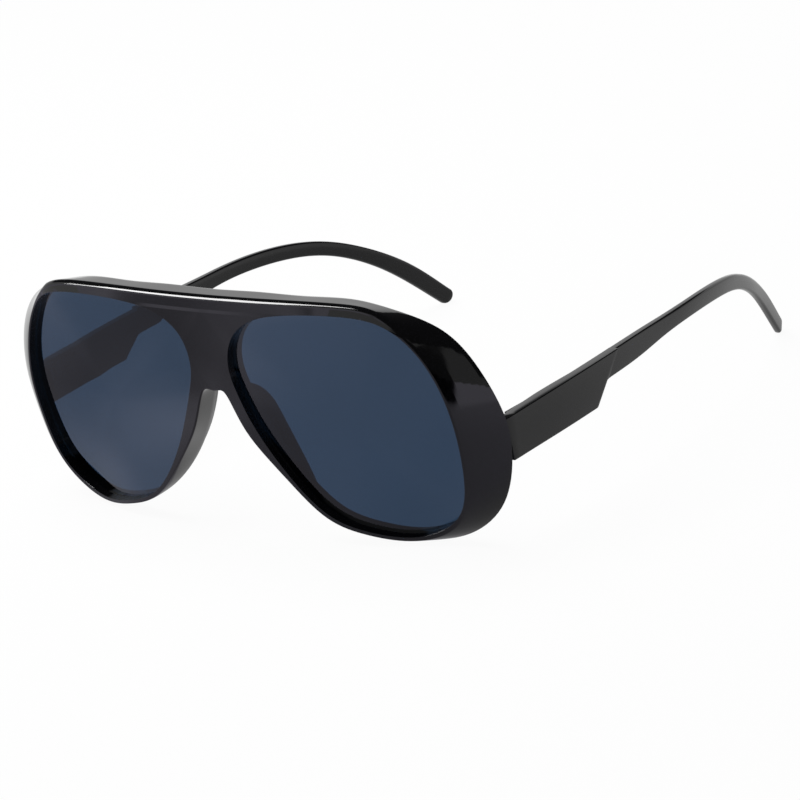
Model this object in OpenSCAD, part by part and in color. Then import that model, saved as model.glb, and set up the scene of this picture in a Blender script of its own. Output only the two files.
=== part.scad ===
// Oversized sunglasses: a one-piece front with flared sides, two tinted lenses set in
// grooves, bonded nose pads, and two folding temples on five-knuckle screw hinges.
// X runs to the wearer's left, Y from the front to the temple tips, Z up. The glasses
// stand on the rim bottoms and the temple tips at Z = 0, centred in X and Y.

/* [Front] */
// Half of the front's width, to the rear edge of a side flare
half_width = 71.3; // [70:0.1:75]
// Height of the front, from the rim bottoms to the top of the brow
front_height = 59.6; // [58.5:0.1:63]
// Width of the flare beside a lens opening
flare_w = 8.9; // [7.5:0.1:10]
// Height of the brow above a lens opening
brow_h = 2.9; // [2.4:0.1:4]
// Width of the bridge between the two lens openings
bridge_w = 11.4; // [10:0.1:13]
// Height of the lower rim below a lens opening
lower_rim = 2.3; // [2:0.1:3.2]
// Width of the flat face around the outside of a lens opening
side_rim = 0.6; // [0.4:0.1:1]
// Width of the flat face beside the nose notch
nose_rim = 3.3; // [2.6:0.1:3.6]
// Depth of the front, from its face to its back
rim_depth = 6.2; // [5.8:0.1:7.5]
// Radius of the front's curve, seen from above
face_radius = 333; // [250:1:600]
// Lean of the front, with its top forward, in degrees
front_tilt = 1.5; // [0:0.1:4]
// How far the back of the side flares lies behind the middle of the face
flare_depth = 14.9; // [14:0.1:17]
// How far the lower outer corner of the face sweeps back
face_sweep = 4.1; // [2:0.1:5]
// Height of the notch over the nose, above the rim bottoms
notch_top = 36.5; // [33:0.1:40]
// Bevel along the top of the brow
brow_bevel = 1.1; // [0.6:0.1:1.5]
// Bevel along the nose notch
notch_bevel = 0.4; // [0.2:0.1:0.6]

/* [Lenses] */
// Thickness of a lens
lens_t = 1.8; // [1.4:0.1:2.2]
// How far a lens lies behind the front's face
lens_recess = 2.1; // [2:0.1:3]
// Depth of the groove that holds a lens
groove_depth = 0.8; // [0.5:0.1:1]
// Clearance of a lens in its groove
lens_clear = 0.08; // [0.05:0.01:0.15]

/* [Nose pads] */
// Depth of a nose pad, front to back
pad_depth = 6.4; // [5.5:0.1:7.2]
// Thickness of a nose pad
pad_t = 2.8; // [2.2:0.1:3.4]
// Splay of a nose pad, in degrees
pad_splay = 32; // [15:1:40]

/* [Temples] */
// Length of a temple behind its hinge pin
temple_reach = 141.2; // [130:0.5:150]
// Height of the wide panel at the front of a temple
panel_h = 10.3; // [9.6:0.1:12]
// Length of the wide panel along its top edge
panel_l = 42; // [36:0.5:50]
// Thickness of a temple at its panel
temple_t = 2.8; // [2.6:0.1:3.4]
// How far the panel stands proud of the arm
panel_proud = 0.6; // [0.3:0.1:0.9]
// Thickness of a temple at its tip
ear_t = 2.1; // [1.8:0.1:2.6]
// How far the ear end drops below the arm's top edge
ear_drop = 30.4; // [26:0.1:33]
// How far the ear end curves inwards
ear_curve = 20.4; // [14:0.1:21]
// Gap between a temple and the back of the front
joint_gap = 0.25; // [0.2:0.05:0.4]

/* [Hinges] */
// Height of the whole hinge barrel
barrel_h = 6.4; // [6:0.1:6.8]
// Radius of a hinge knuckle
knuckle_r = 1.45; // [1.3:0.05:1.5]
// Radius of the hinge screw's shank
pin_r = 0.65; // [0.5:0.05:0.75]
// Running clearance of the screw in the knuckles
pin_clear = 0.05; // [0.02:0.01:0.08]
// Gap between two knuckles
knuckle_gap = 0.08; // [0.05:0.01:0.15]
// Thickness of a hinge leaf
leaf_t = 0.9; // [0.7:0.05:1]
// Width of the front's hinge anchor, across the flare
anchor_w = 4.4; // [3.6:0.1:4.8]
// Thickness of the front's hinge anchor
anchor_t = 1; // [0.8:0.1:1.2]
// How deep the anchor is sunk in the back of the flare
anchor_sink = 1.2; // [1.1:0.1:1.4]
// Length of the leaf on a temple
leaf_l = 10.5; // [9:0.1:14]
// Distance from the hinge pin to the inner face of the temple
pin_to_temple = 1.9; // [1.8:0.05:2.2]
// Distance from the back of the front to the hinge pin
pin_to_front = 2; // [1.95:0.05:2.4]
// Radius of a leaf screw's head
screw_head_r = 0.95; // [0.8:0.05:1.1]
// Length of a leaf screw under its head
screw_l = 2.2; // [1.5:0.1:2.4]

/* [Hidden] */

// Stations between two outline points, and how finely the other pieces are drawn
SUB = 4;
ROUND = 48;
PAD_RINGS = 14;
PAD_SIDES = 14;
TEMPLE_STEPS = 4;
EAR_STEPS = 7;
TIP_STEPS = 10;

// Each half of the front has 18 stations round its outline: 0 at the middle of the brow,
// 4 at its corner, 8 near the hinge, 11 at the bottom and 17 at the top of the nose notch.
// Lens opening at each station: shares of the opening's width and height
opening_share = [[.042, .872], [.173, .960], [.361, .992], [.570, 1], [.757, .978],
    [.878, .879], [.959, .726], [.999, .553], [1, .367], [.961, .163], [.853, .040],
    [.697, 0], [.514, .032], [.341, .108], [.188, .286], [.082, .477], [.022, .629],
    [0, .744]];

// How far the face lies behind its curve at each station: shares of face_sweep
sweep_share = [.12, .06, 0, -.15, -.30, -.12, 0, .10, .37, .74, .99, .71, .29, .20, .11,
    -.05, -.07, -.02];
brow_sweep_share = [0, 0, 0, -.07, -.20];

// Depth of the opening's wall at each station: shares of rim_depth
wall_share = [1, 1, 1, 1.03, 1.06, .95, .85, .82, .8, .8, .78, .78, .87, .92, 1, 1, 1, 1];

// Where the flat face ends along the brow: shares of the half width and the height
brow_share = [[0, .980], [.190, .980], [.365, .980], [.547, .977], [.682, .951]];

// How far it ends outside the opening: shares of side_rim, then shares of nose_rim
side_rim_share = [.75, .83, 1, 1.17, 1.33, 1.8, 1.5, 1.5, 1.65];
nose_rim_share = [.39, .84];
notch_side_share = .983;

// Outer edge of the front's back along the brow: shares of the half width and the height
brow_edge_share = [[0, .988], [.183, .990], [.365, .985], [.540, .981], [.695, .945]];

// Rear edge of the flare: shares of the half width, the height and the flare's depth
flare_share = [[.848, .866, .75], [.948, .719, .835], [.999, .540, .935], [.998, .369, 1],
    [.939, .163, .985], [.802, .027, .9], [.654, 0, .72], [.506, .025, .57]];

// How far the back of the nose rim stands out past its face: shares of nose_rim
nose_edge_share = [0, .30, .13, .13];

// How far the outside is a rounded flare, from 0 for a bevelled edge, at each station
rounded_share = [0, 0, 0, 0, 0, 1, 1, 1, 1, 1, 1, 1, 1, .6, 0, 0, 0, 0];

LAST = len(opening_share) - 1;
STATIONS = len(opening_share) * SUB;
FLARE_ROWS = 6;
flare_power = 1.85;
tiny = 0.001;
slope_step = 0.01;

// The value a share k of the way from a to b
function mix(a, b, k) = a * (1 - k) + b * k;

// Smooth closed curve through points: the control points are found by relaxation
function relax(p, c, n) = n == 0 ? c
    : relax(p, [for (i = [0:len(p) - 1])
        (6 * p[i] - c[(i + len(p) - 1) % len(p)] - c[(i + 1) % len(p)]) / 4], n - 1);
function smooth(p) = relax(p, p, 18);
function curve(c, t) = let (n = len(c), i = floor(t), f = t - i,
        a = c[(i + n - 1) % n], b = c[i % n], d = c[(i + 1) % n], e = c[(i + 2) % n])
    (a * pow(1 - f, 3) + b * (3 * f * f * f - 6 * f * f + 4)
        + d * (-3 * f * f * f + 3 * f * f + 3 * f + 1) + e * f * f * f) / 6;
function slope(c, t) = curve(c, t + slope_step) - curve(c, t - slope_step + len(c));
function outward(c, t) = let (s = slope(c, t)) [-s[1], s[0], 0] / norm([s[0], s[1]]);

// The curve of the front's face, seen from above
function face_y(x) = face_radius - sqrt(face_radius * face_radius - x * x);

// The outline's points at their real sizes
opening_w = half_width - flare_w - bridge_w / 2;
opening_h = front_height - brow_h - lower_rim;
opening_pts = [for (i = [0:LAST]) let (s = opening_share[i])
    [bridge_w / 2 + s[0] * opening_w, lower_rim + s[1] * opening_h,
        sweep_share[i] * face_sweep]];
opening_c = smooth(opening_pts);
wall_c = smooth([for (s = wall_share) [s * rim_depth, 0]]);
rim_w = concat(side_rim_share * side_rim, nose_rim_share * nose_rim);
BROW = len(brow_share);

// The points of the face and of the rear edge hold their X, their Z and how far back they lie
function swept(p, s) = [p[0], p[1], face_y(p[0]) + s * face_sweep];
face_pts = concat(
    [for (i = [0:BROW - 1]) let (s = brow_share[i])
        swept([s[0] * half_width, s[1] * front_height], brow_sweep_share[i])],
    [for (i = [0:len(rim_w) - 1]) swept(opening_pts[BROW + i]
        + outward(opening_c, BROW + i) * rim_w[i], sweep_share[BROW + i])],
    [swept([opening_pts[LAST - 1][0] - nose_rim, notch_side_share * notch_top],
        sweep_share[LAST - 1]), swept([0, notch_top], 0)]);
NOSE = BROW + len(flare_share);
function behind(p, i) = [p[0], p[1], face_pts[i][2] + rim_depth * wall_share[i]];
edge_pts = concat(
    [for (i = [0:BROW - 1]) let (s = brow_edge_share[i])
        behind([s[0] * half_width, s[1] * front_height], i)],
    [for (s = flare_share) [s[0] * half_width, s[1] * front_height, s[2] * flare_depth]],
    [for (i = [0:len(nose_edge_share) - 1]) behind(face_pts[NOSE + i]
        + outward(opening_c, NOSE + i) * nose_edge_share[i] * nose_rim, NOSE + i)],
    [behind([0, notch_top], LAST)]);
function both_halves(p) = concat(p,
    [for (i = [len(p) - 2:-1:1]) [for (k = [0:len(p[i]) - 1]) k == 0 ? -p[i][k] : p[i][k]]]);
face_c = smooth(both_halves(face_pts));
edge_c = smooth(both_halves(edge_pts));

// One station of the front: past the last outline point it crosses the bridge at X = 0
function on_bridge(t) = t > LAST;
function opening_at(t) = curve(opening_c, t);
function across(p, t) = mix(p[LAST], p[0], t - LAST);
function face_at(t) = on_bridge(t) ? across(face_pts, t) : curve(face_c, t);
function edge_at(t) = on_bridge(t) ? across(edge_pts, t) : curve(edge_c, t);
function flare_at(t) = let (i = floor(t), j = min(i + 1, LAST))
    on_bridge(t) ? 0 : mix(rounded_share[i], rounded_share[j], t - i);
function bevel_at(t) = t < LAST / 2 ? brow_bevel : notch_bevel;
function bevel_dir(t) = on_bridge(t) ? [0, 0, 0]
    : abs(face_at(t)[0]) < tiny ? [0, t < 1 ? 1 : -1, 0] : outward(face_c, t);

// A point kept as X, Z and depth, turned to X, Y, Z
function placed(p) = [p[0], p[2], p[1]];
function shoulder(t, k) = let (b = bevel_at(t) * k)
    placed(face_at(t) + bevel_dir(t) * b + [0, 0, b]);
function edge_point(t) = placed(edge_at(t));
function bevelled(t, r) = r <= 2 ? shoulder(t, r / 2)
    : mix(shoulder(t, 1), edge_point(t), (r - 2) / (FLARE_ROWS - 2));
function rounded(t, r) = let (c = face_at(t), e = edge_at(t), a = 90 * r / FLARE_ROWS,
        s = pow(sin(a), flare_power), v = 1 - pow(cos(a), flare_power))
    [mix(c[0], e[0], s), mix(c[2], e[2], v), mix(c[1], e[1], s)];
function side_point(t, r) = mix(bevelled(t, r), rounded(t, r), flare_at(t));

// Points around a lens opening, moved outwards by out and back by y
function rim_point(t, out, y) = let (p = opening_at(t), q = p + outward(opening_c, t) * out)
    [q[0], face_y(q[0]) + p[2] + y, q[1]];
function wall_end(t) = rim_point(t, 0, curve(wall_c, t)[0]);
function back_point(t, k) = let (p = wall_end(t), e = edge_point(t))
    [mix(p[0], e[0], k), e[1], mix(p[2], e[2], k)];
back_share = 0.38;

// All rows of one station, from the opening's front edge round the outside to its groove
function section(t) = concat([rim_point(t, 0, 0)],
    [for (r = [0:FLARE_ROWS]) side_point(t, r)],
    [back_point(t, back_share), wall_end(t),
        rim_point(t, 0, lens_recess + lens_t + lens_clear),
        rim_point(t, groove_depth, lens_recess + lens_t + lens_clear),
        rim_point(t, groove_depth, lens_recess - lens_clear),
        rim_point(t, 0, lens_recess - lens_clear)]);
ROWS = FLARE_ROWS + 8;
half_points = [for (j = [0:STATIONS - 1]) each section(j / SUB)];

// Quads between stations j and j + 1; those of the outside are left out across the bridge
function station_row(j, r) = (j % STATIONS) * ROWS + r % ROWS;
function is_outside(r) = r >= 1 && r <= FLARE_ROWS;
half_faces = [for (j = [0:STATIONS - 1], r = [0:ROWS - 1])
    if (!(is_outside(r) && j >= LAST * SUB))
        each [[station_row(j, r), station_row(j + 1, r + 1), station_row(j + 1, r)],
            [station_row(j, r), station_row(j, r + 1), station_row(j + 1, r + 1)]]];
HALF = len(half_points);
function mirrored_index(i) = abs(half_points[i][0]) < tiny ? i : i + HALF;
front_points = concat([for (p = half_points) [abs(p[0]) < tiny ? 0 : p[0], p[1], p[2]]],
    [for (p = half_points) [-p[0], p[1], p[2]]]);
front_faces = concat(half_faces,
    [for (f = half_faces)
        [mirrored_index(f[2]), mirrored_index(f[1]), mirrored_index(f[0])]]);

// The front leans about the middle of its lower edge, and its lowest edge stands at Z = 0
function leaned(p) = [p[0], p[1] * cos(front_tilt) - p[2] * sin(front_tilt),
    p[1] * sin(front_tilt) + p[2] * cos(front_tilt)];
front_low = min([for (p = half_points) leaned(p)[2]]);
front_near = min([for (p = half_points) leaned(p)[1]]);

// The hinge pin, in the front's own frame, behind the slanting back of the flare
pin_x = half_width - temple_t - pin_to_temple;
pin_share = 0.45;
pin_z = front_height * pin_share;
hinge_above = edge_pts[BROW + 2];
hinge_below = edge_pts[BROW + 3];
back_slant = (hinge_above[2] - hinge_below[2]) / (hinge_above[1] - hinge_below[1]);
pin_y = hinge_below[2] + (pin_z - hinge_below[1]) * back_slant + pin_to_front;
pin_place = leaned([pin_x, pin_y, pin_z]) - [0, 0, front_low];

// Side view of a temple from the pin: shares of its reach and its ear drop
top_share = [[0, .112], [.177, .153], [.362, .182], [.455, .190], [.558, .197],
    [.671, .160], [.784, .018], [.903, -.302], [.990, -.675]];
under_share = [[.270, -.022], [.362, .002], [.444, .046], [.537, .068], [.651, .042],
    [.759, -.068], [.867, -.347], [.974, -.788]];
panel_end_share = [.874, .745];
arm_under_share = .032;
tip_bulge_share = .95;
top_pts = [for (s = top_share) [s[0] * temple_reach, s[1] * ear_drop]];
under_pts = [for (s = under_share) [s[0] * temple_reach, s[1] * ear_drop]];

// Smooth open curve: the ends are carried on in a straight line
function open_ends(p) = concat([2 * p[0] - p[1]], p, [2 * p[len(p) - 1] - p[len(p) - 2]]);
function relax_open(p, c, n) = n == 0 ? c
    : relax_open(p, [for (i = [0:len(p) - 1]) i == 0 || i == len(p) - 1 ? p[i]
        : (6 * p[i] - c[i - 1] - c[i + 1]) / 4], n - 1);
function open_curve(p, steps) = let (q = open_ends(p), c = relax_open(q, q, 18))
    [for (i = [1:len(p) - 1], k = [0:steps - 1]) curve(c, i + k / steps)];

arm_top = concat(open_curve(top_pts, EAR_STEPS), [top_pts[len(top_pts) - 1]]);
arm_under = concat(open_curve(under_pts, EAR_STEPS), [under_pts[len(under_pts) - 1]]);
function top_z(y) = lookup(y, arm_top);
function panel_low(y) = mix(top_z(0), top_z(panel_l), y / panel_l) - panel_h;
temple_front = joint_gap - pin_to_front;

// The tip is half an oval across the arm's end
tip_a = top_pts[len(top_pts) - 1];
tip_b = under_pts[len(under_pts) - 1];
tip_half = (tip_a - tip_b) / 2;
tip = [for (i = [1:TIP_STEPS - 1]) let (a = 180 * i / TIP_STEPS)
    (tip_a + tip_b) / 2 + tip_half * cos(a)
        + [tip_half[1], -tip_half[0]] * tip_bulge_share * sin(a)];

// The temple drops until its tip stands on the same level as the rims
temple_drop = min([for (p = tip) asin(pin_place[2] / norm(p)) - atan2(-p[1], p[0])]);
temple_lean = front_tilt + temple_drop;
temple_end = pin_place[1]
    + max([for (p = tip) p[0] * cos(temple_drop) + p[1] * sin(temple_drop)]);
shift_y = -(front_near + temple_end) / 2;

// Plan view of a temple's outer face: shares of its reach, and of the ear's inward curve
// from the face of the panel
plan_share = [[0, 0], [.033, -.008], [.074, -.019], [.135, -.034], [.218, -.043],
    [.311, -.037], [.424, -.015], [.527, .010], [.630, .104], [.722, .248], [.815, .443],
    [.903, .669], [1.052, 1.020]];
outer_x = pin_to_temple + temple_t;
plan_pts = [for (s = plan_share) [outer_x - s[1] * ear_curve, s[0] * temple_reach]];
plan_face = concat([[outer_x, -2 * pin_to_front]],
    open_curve(plan_pts, TEMPLE_STEPS), [plan_pts[len(plan_pts) - 1]]);
plan_arm = [for (q = plan_face) [q[0] - panel_proud, q[1]]];

// Its inner face: flat under the hinge leaf, then a wall that thins towards the tip
leaf_start = knuckle_r + leaf_t;
leaf_end = leaf_start + leaf_l;
function boss(y) = max(0, min(1, 2 - y / leaf_end));
function thin(y) = max(0, min(1, (y - panel_l) / (temple_reach - panel_l)));
plan_inner = [for (q = plan_face)
    [q[0] - mix(temple_t, panel_proud + ear_t, thin(q[1])) - (q[0] - outer_x) * boss(q[1]),
        q[1]]];
function reversed(p) = [for (i = [len(p) - 1:-1:0]) p[i]];

// Places the front's own frame, and the temple's frame at its hinge pin
module in_front() {
    translate([0, shift_y, -front_low]) rotate([front_tilt, 0, 0]) children();
}
module at_pin() {
    in_front() translate([pin_x, pin_y, pin_z]) children();
}
module at_temple() {
    at_pin() rotate([-temple_lean, 0, 0]) children();
}

module front_frame() {
    color("#1d1d20") in_front() polyhedron(front_points, front_faces, convexity = 10);
}

// A lens: rings that close in on its middle, on both of its faces
LENS_RINGS = 6;
lens_mid_share = [.53, .50, .25];
lens_mid = [bridge_w / 2 + lens_mid_share[0] * opening_w,
    lower_rim + lens_mid_share[1] * opening_h, lens_mid_share[2] * face_sweep];
lens_edge = groove_depth - lens_clear;
function lens_ring(k, y) = [for (j = [0:STATIONS - 1])
    let (t = j / SUB, p = opening_at(t), n = outward(opening_c, t),
        f = min(1, k / (LENS_RINGS - 1)),
        q = k == LENS_RINGS ? p + n * lens_edge : mix(lens_mid, p - n * groove_depth, f))
    [q[0], face_y(q[0]) + mix(lens_mid[2], p[2], f * f) + y, q[1]]];
function lens_side(y) = concat(
    [[lens_mid[0], face_y(lens_mid[0]) + lens_mid[2] + y, lens_mid[1]]],
    [for (k = [1:LENS_RINGS]) each lens_ring(k, y)]);
SIDE = 1 + LENS_RINGS * STATIONS;
function ring_index(k, j) = 1 + (k - 1) * STATIONS + j % STATIONS;
lens_cap = concat([for (j = [0:STATIONS - 1]) [0, ring_index(1, j), ring_index(1, j + 1)]],
    [for (k = [1:LENS_RINGS - 1], j = [0:STATIONS - 1])
        each [[ring_index(k, j), ring_index(k + 1, j), ring_index(k + 1, j + 1)],
            [ring_index(k, j), ring_index(k + 1, j + 1), ring_index(k, j + 1)]]]);
lens_points = concat(lens_side(lens_recess), lens_side(lens_recess + lens_t));
lens_faces = concat(lens_cap,
    [for (f = lens_cap) [f[2] + SIDE, f[1] + SIDE, f[0] + SIDE]],
    [for (j = [0:STATIONS - 1])
        let (a = ring_index(LENS_RINGS, j), b = ring_index(LENS_RINGS, j + 1))
        each [[b, a, a + SIDE], [b, a + SIDE, b + SIDE]]]);

module lens_right() {
    color("#2d3f5c") in_front() polyhedron(lens_points, lens_faces, convexity = 4);
}
module lens_left() {
    mirror([1, 0, 0]) lens_right();
}

// A nose pad: ellipses stacked along the rear edge beside the notch, set into the rim's back.
// Stations where it starts and ends, the share of its length where it is deepest, and how
// far its middle lies behind and beside the rim's edge
pad_start = LAST - 0.62;
pad_end = NOSE + 0.3;
pad_crown_share = .36;
pad_swell_share = .75;
pad_back_share = .47;
pad_out_share = .2;
function pad_swell(f) = let (g = f < pad_crown_share ? f / pad_crown_share / 2
        : (1 + (f - pad_crown_share) / (1 - pad_crown_share)) / 2)
    pow(sin(180 * g), pad_swell_share);
function pad_ring(k) = let (f = (1 - cos(180 * k / PAD_RINGS)) / 2, swell = pad_swell(f),
        e = edge_at(mix(pad_start, pad_end, f)), back = e[2] - pad_t / 2
            + pad_depth * swell * pad_back_share)
    [for (i = [0:PAD_SIDES - 1]) let (a = 360 * i / PAD_SIDES,
            u = pad_t / 2 * swell * cos(a), v = pad_depth / 2 * swell * sin(a))
        [e[0] + pad_t * pad_out_share + u * cos(pad_splay) + (v + pad_depth * swell / 2) * sin(pad_splay),
            back + v * cos(pad_splay) - u * sin(pad_splay), e[1]]];
pad_points = [for (k = [1:PAD_RINGS - 1]) each pad_ring(k)];
function pad_index(k, i) = k * PAD_SIDES + i % PAD_SIDES;
pad_faces = concat([[for (i = [0:PAD_SIDES - 1]) i]],
    [for (k = [0:PAD_RINGS - 3], i = [0:PAD_SIDES - 1])
        each [[pad_index(k, i), pad_index(k + 1, i), pad_index(k + 1, i + 1)],
            [pad_index(k, i), pad_index(k + 1, i + 1), pad_index(k, i + 1)]]],
    [[for (i = [PAD_SIDES - 1:-1:0]) pad_index(PAD_RINGS - 2, i)]]);

module nose_pad_right() {
    color("#232326") in_front() polyhedron(pad_points, pad_faces, convexity = 4);
}
module nose_pad_left() {
    mirror([1, 0, 0]) nose_pad_right();
}

// Hinge: five knuckles on one screw, three on the front's leaf and two on the temple's
KNUCKLES = 5;
pitch = barrel_h / KNUCKLES;
bore_r = pin_r + pin_clear;
neck_w = 2 * knuckle_r - leaf_t / 2;
neck_l = pin_to_front + anchor_sink + anchor_t / 2;
slot_w = 0.45;
overrun = 1;

module knuckle(i) {
    translate([0, 0, -barrel_h / 2 + i * pitch + knuckle_gap / 2])
        cylinder(h = pitch - knuckle_gap, r = knuckle_r, $fn = ROUND);
}
module pin_bore(r) {
    translate([0, 0, -barrel_h / 2 - overrun])
        cylinder(h = barrel_h + 2 * overrun, r = r, $fn = ROUND);
}

// The front's leaf is sunk in the plastic; its necks come out of the back of the flare
module front_hinge_leaf_right() {
    color("#2e2f31") at_pin() difference() {
        union() {
            translate([-anchor_w / 2, -neck_l - anchor_t / 2, -barrel_h / 2])
                cube([anchor_w, anchor_t, barrel_h]);
            for (i = [0:2:KNUCKLES - 1]) {
                knuckle(i);
                translate([-neck_w / 2, -neck_l, -barrel_h / 2 + i * pitch + knuckle_gap / 2])
                    cube([neck_w, neck_l, pitch - knuckle_gap]);
            }
        }
        pin_bore(bore_r);
    }
}
module front_hinge_leaf_left() {
    mirror([1, 0, 0]) front_hinge_leaf_right();
}

// The temple's leaf lies on the inner face of the temple, behind the barrel
screw_r = screw_head_r / 2;
head_h = leaf_t / 2;
screw_share = [.28, .72];
screw_places = [for (s = screw_share)
    [pin_to_temple - leaf_t, leaf_start + leaf_l * s, 0]];

module temple_hinge_leaf_right() {
    color("#2e2f31") difference() {
        union() {
            at_temple() translate([pin_to_temple - leaf_t, leaf_start, -barrel_h / 2])
                cube([leaf_t, leaf_l, barrel_h]);
            at_pin() for (i = [1:2:KNUCKLES - 1]) {
                knuckle(i);
                translate([0, 0, -barrel_h / 2 + i * pitch + knuckle_gap / 2])
                    cube([knuckle_r, leaf_start + leaf_t, pitch - knuckle_gap]);
            }
        }
        at_pin() pin_bore(bore_r);
        at_temple() for (p = screw_places) translate(p) rotate([0, 90, 0]) {
            translate([0, 0, -overrun]) cylinder(h = leaf_t + 2 * overrun,
                r = screw_r + pin_clear, $fn = ROUND);
            translate([0, 0, -overrun]) cylinder(h = head_h + overrun,
                r = screw_head_r + pin_clear, $fn = ROUND);
        }
    }
}
module temple_hinge_leaf_left() {
    mirror([1, 0, 0]) temple_hinge_leaf_right();
}

// Two screws hold the leaf: head in the leaf, shank cut into the temple's plastic
module leaf_screws_right() {
    color("#3a3b3e") at_temple() for (p = screw_places) translate(p) rotate([0, 90, 0]) {
        difference() {
            cylinder(h = head_h, r = screw_head_r, $fn = ROUND);
            slot(screw_head_r, head_h / 2);
        }
        translate([0, 0, head_h / 2]) cylinder(h = screw_l, r = screw_r, $fn = ROUND);
    }
}
module leaf_screws_left() {
    mirror([1, 0, 0]) leaf_screws_right();
}
module slot(r, deep) {
    translate([-r - overrun, -slot_w / 2, -overrun])
        cube([2 * (r + overrun), slot_w, deep / 2 + overrun]);
}

// The hinge screw: a slotted head on the top knuckle, its shank down through all five
pivot_head_r = knuckle_r - leaf_t / 4;
pivot_head_h = leaf_t;
module pivot_screw_right() {
    color("#3a3b3e") at_pin() {
        translate([0, 0, barrel_h / 2 - knuckle_gap / 2 + pivot_head_h]) mirror([0, 0, 1])
            difference() {
                cylinder(h = pivot_head_h, r = pivot_head_r, $fn = ROUND);
                slot(pivot_head_r, pivot_head_h);
            }
        translate([0, 0, -barrel_h / 2])
            cylinder(h = barrel_h, r = pin_r, $fn = ROUND);
    }
}
module pivot_screw_left() {
    mirror([1, 0, 0]) pivot_screw_right();
}

// A temple: the arm's side view cut out of its curved plan, and the panel that stands proud
module side_cut(points) {
    translate([-ear_curve - outer_x, 0, 0]) rotate([90, 0, 90])
        linear_extrude(2 * (ear_curve + outer_x)) polygon(points);
}
module plan_strip(outer, inner) {
    translate([0, 0, -2 * ear_drop]) linear_extrude(3 * ear_drop)
        polygon(concat(outer, reversed(inner)));
}
module temple_right() {
    slant = back_slant - tan(temple_lean);
    color("#1f1f22") at_temple() {
        intersection() {
            side_cut(concat([for (q = arm_top) if (q[0] > panel_l / 2) q], tip,
                reversed(arm_under), [[panel_l / 2, -arm_under_share * ear_drop]]));
            plan_strip(plan_arm, plan_inner);
        }
        intersection() {
            side_cut(concat([[temple_front + top_z(0) * slant, top_z(0)]],
                [for (q = arm_top) if (q[0] < panel_l) q],
                [[panel_l, top_z(panel_l)],
                    [panel_l * panel_end_share[0], -arm_under_share * ear_drop],
                    [panel_l * panel_end_share[1], panel_low(panel_l * panel_end_share[1])],
                    [temple_front + panel_low(0) * slant, panel_low(0)]]));
            plan_strip(plan_face, plan_inner);
        }
    }
}
module temple_left() {
    mirror([1, 0, 0]) temple_right();
}

front_frame();
lens_right();
lens_left();
nose_pad_right();
nose_pad_left();
front_hinge_leaf_right();
front_hinge_leaf_left();
pivot_screw_right();
pivot_screw_left();
temple_right();
temple_left();
temple_hinge_leaf_right();
temple_hinge_leaf_left();
leaf_screws_right();
leaf_screws_left();
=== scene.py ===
# %% [markdown]
# # Oversized sunglasses
# A moulded black front with two flared sides, two tinted lenses, two nose pads and two folding
# temples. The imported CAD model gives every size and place. Here the plastic pieces are modelled
# again with soft edges, because a polished black object is seen only by what it mirrors, and a
# real moulding has no sharp edge. The small metal parts keep their CAD shape and get real finishes.

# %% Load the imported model
import bpy, math
import numpy as np
from mathutils import Matrix, Vector


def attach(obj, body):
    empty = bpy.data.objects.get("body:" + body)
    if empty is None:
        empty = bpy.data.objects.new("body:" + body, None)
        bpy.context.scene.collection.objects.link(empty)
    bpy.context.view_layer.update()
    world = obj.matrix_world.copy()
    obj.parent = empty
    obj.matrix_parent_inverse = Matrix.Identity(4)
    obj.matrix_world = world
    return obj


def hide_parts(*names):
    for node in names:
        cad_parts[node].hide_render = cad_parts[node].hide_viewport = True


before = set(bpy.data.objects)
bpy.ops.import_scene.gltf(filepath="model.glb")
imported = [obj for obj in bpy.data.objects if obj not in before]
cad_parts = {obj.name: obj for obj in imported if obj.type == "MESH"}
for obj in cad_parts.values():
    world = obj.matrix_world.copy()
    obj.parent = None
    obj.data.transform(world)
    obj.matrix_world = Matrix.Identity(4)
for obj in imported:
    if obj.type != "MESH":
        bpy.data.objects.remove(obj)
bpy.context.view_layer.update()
bpy.ops.object.select_all(action="DESELECT")

# %% [markdown]
# ## The camera
# The photograph was taken from the front right and a little above with a long lens, and the
# camera was rolled by a few degrees. The glasses' two halves mirror each other, which fixes the
# camera's direction, its distance and its focal length.

# %% Camera at the photograph's viewing angle
SIDE_ANGLE, RAISED, ROLLED = map(math.radians, (39.385, 18.85, -8.703))
AIM = Vector((0.00638, -0.020, 0.01299))
FAR_OFF, LONG_LENS = 0.956, 179.4
back = Vector((math.sin(SIDE_ANGLE) * math.cos(RAISED),
               -math.cos(SIDE_ANGLE) * math.cos(RAISED), math.sin(RAISED)))
level = Vector((math.cos(SIDE_ANGLE), math.sin(SIDE_ANGLE), 0))
upward = back.cross(level)
right_hand = level * math.cos(ROLLED) + upward * math.sin(ROLLED)
top_edge = upward * math.cos(ROLLED) - level * math.sin(ROLLED)
bpy.ops.object.camera_add(location=AIM + back * FAR_OFF)
camera = bpy.context.object
camera.matrix_world = Matrix.Translation(AIM + back * FAR_OFF) @ Matrix(
    (right_hand, top_edge, back)).transposed().to_4x4()
camera.data.lens, camera.data.sensor_width = LONG_LENS, 36
camera.data.clip_start, camera.data.clip_end = 0.02, 20
bpy.context.scene.camera = camera
print("camera", [round(c, 3) for c in camera.location])

# %% [markdown]
# ## Sizes in millimetres
# The front has its own frame, in which it stands upright: x to the wearer's left, y backwards
# from the middle of its face, z up. The outline is given at 18 stations a half. A smooth closed
# curve runs through them, the way a pattern maker bends a thin strip round pins.

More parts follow.
